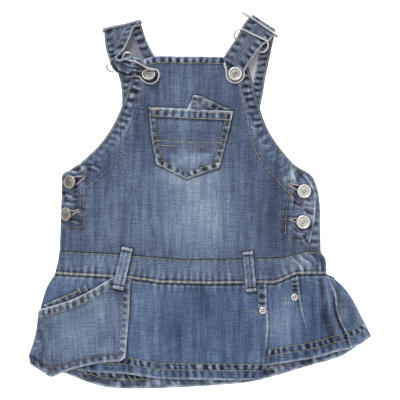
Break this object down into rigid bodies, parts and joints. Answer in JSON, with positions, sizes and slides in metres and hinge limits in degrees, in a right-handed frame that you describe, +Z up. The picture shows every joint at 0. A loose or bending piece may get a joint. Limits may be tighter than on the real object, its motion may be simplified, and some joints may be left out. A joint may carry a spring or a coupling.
{
  "type": "pinafore dress",
  "caption": "Baby's washed denim pinafore dress laid flat, with a bib, a bib pocket, a hip pocket, a pleated skirt and buttoned straps.",
  "frame": {"origin": "centre of the outline, on the surface that the dress lies on", "axes": "+X to the right of someone looking down on the front, +Y from the hem to the straps, +Z up out of the surface"},
  "size_m": [0.369, 0.4061, 0.0143],
  "materials": {
    "denim": "washed indigo twill, soft and matt, with pale wear down its middle",
    "denim_faded": "paler washed indigo twill with worn edges",
    "denim_dark": "darker washed indigo twill with roped hems",
    "button_metal": "worn nickel with a plain rim and hollow",
    "rivet_metal": "worn nickel, domed",
    "wire": "bright nickel-plated wire"
  },
  "bodies": {
    "root": {"back_bodice": "denim_dark", "back_waistband": "denim_dark", "back_skirt": "denim_dark", "front_bodice": "denim", "front_waistband": "denim_faded", "front_skirt": "denim", "hip_pocket_facing": "denim_dark", "hip_pocket_tab": "denim_faded", "hip_pocket": "denim_faded", "bib_pocket_insert": "denim_dark", "bib_pocket": "denim_faded", "belt_loop_left": "denim_faded", "belt_loop_right": "denim_faded", "strap_left": "denim_dark", "strap_right": "denim_dark", "bib_button_left": "button_metal", "bib_button_right": "button_metal", "side_button_left_upper": "button_metal", "side_button_left_lower": "button_metal", "side_button_right_upper": "button_metal", "side_button_right_lower": "button_metal", "pleat_rivet_inner": "rivet_metal", "pleat_rivet_outer": "rivet_metal", "slide_left": "wire", "slide_right": "wire", "keeper_left": "wire", "keeper_right": "wire", "clasp_left": "wire", "clasp_right": "wire"}
  },
  "joints": []
}
